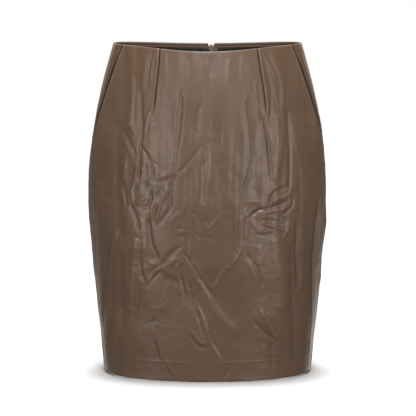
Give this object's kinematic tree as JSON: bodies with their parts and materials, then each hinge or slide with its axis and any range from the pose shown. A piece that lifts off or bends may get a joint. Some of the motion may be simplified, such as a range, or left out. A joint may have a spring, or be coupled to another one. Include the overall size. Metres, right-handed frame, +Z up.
{
  "type": "faux leather pencil skirt",
  "caption": "Fitted knee-length tube skirt in coated cloth, with waist darts, slanted pocket mouths, a back zip and a turned hem.",
  "frame": {"origin": "centre of the waist opening, level with the waist edge at centre front, where the wearer's waist holds it", "axes": "+Z up, front faces -Y, wearer's left is +X"},
  "size_m": [0.37, 0.2565, 0.5115],
  "materials": {
    "coated_cloth": "soft satin, fine grain",
    "facing_cloth": "soft satin",
    "lining_cloth": "satin weave",
    "zip_tape": "woven tape",
    "zip_metal": "brown enamel over metal"
  },
  "bodies": {
    "skirt": {"front_panel": "coated_cloth", "back_panel_left": "coated_cloth", "back_panel_right": "coated_cloth", "pocket_bearer_left": "coated_cloth", "pocket_bearer_right": "coated_cloth", "waist_facing_front": "facing_cloth", "waist_facing_back_left": "facing_cloth", "waist_facing_back_right": "facing_cloth", "lining_front": "lining_cloth", "lining_back_left": "lining_cloth", "lining_back_right": "lining_cloth", "zip_tape_left": "zip_tape", "zip_tape_right": "zip_tape", "zip_slider": "zip_metal"},
    "zip_pull": {"zip_pull": "zip_metal"}
  },
  "joints": [
    {"name": "zip_pull_hinge", "type": "hinge", "parent": "skirt", "child": "zip_pull", "pos_m": [0.00584, 0.10815, -0.00479], "axis": [1, 0, 0], "range_deg": [0, 165]}
  ]
}
